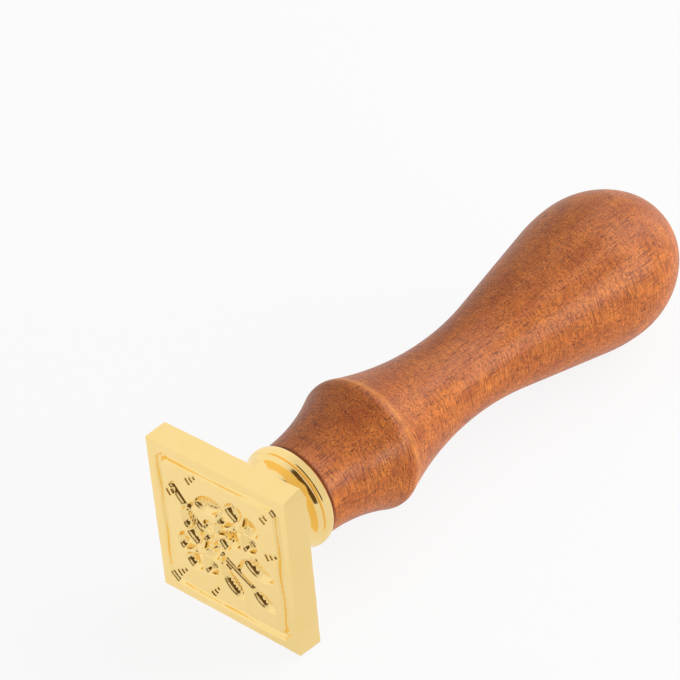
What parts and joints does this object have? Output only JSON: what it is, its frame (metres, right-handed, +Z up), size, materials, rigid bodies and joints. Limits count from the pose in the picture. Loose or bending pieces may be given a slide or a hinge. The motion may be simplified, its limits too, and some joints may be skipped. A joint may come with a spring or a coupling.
{
  "type": "wax seal stamp",
  "caption": "Wax seal stamp lying on its side: turned wooden handle with a bead collar and a square gold seal head, engraved with a flowering sprig, that unscrews from a threaded stud.",
  "frame": {"origin": "on the table, under the middle of the stamp's box as it lies", "axes": "+Z up; +X from the engraved face towards the end of the handle, along the level direction of the stamp's axis, which dips 1.1 degrees towards the handle's end; +Y across"},
  "size_m": [0.0912, 0.0252, 0.0253],
  "materials": {
    "wood": "reddish-brown hardwood under satin lacquer",
    "gold_plate": "polished pale gold plating",
    "stud_steel": "bright zinc-plated thread"
  },
  "bodies": {
    "handle_body": {"handle": "wood", "stud": "stud_steel"},
    "collar_body": {"collar": "gold_plate"},
    "head_body": {"seal_head": "gold_plate"}
  },
  "joints": [
    {"name": "head_turn", "type": "hinge", "parent": "handle_body", "child": "collar_body", "pos_m": [-0.03378, 0, 0.01248], "axis": [-0.9998, 0, 0.0194], "range_deg": [0, 2520]},
    {"name": "head_out", "type": "slide", "parent": "collar_body", "child": "head_body", "axis": [-0.9998, 0, 0.0194], "range_m": [0, 0.007]}
  ],
  "couplings": [
    {"joint": "head_out", "follows": "head_turn", "m_per_rad": 0.00015915}
  ]
}
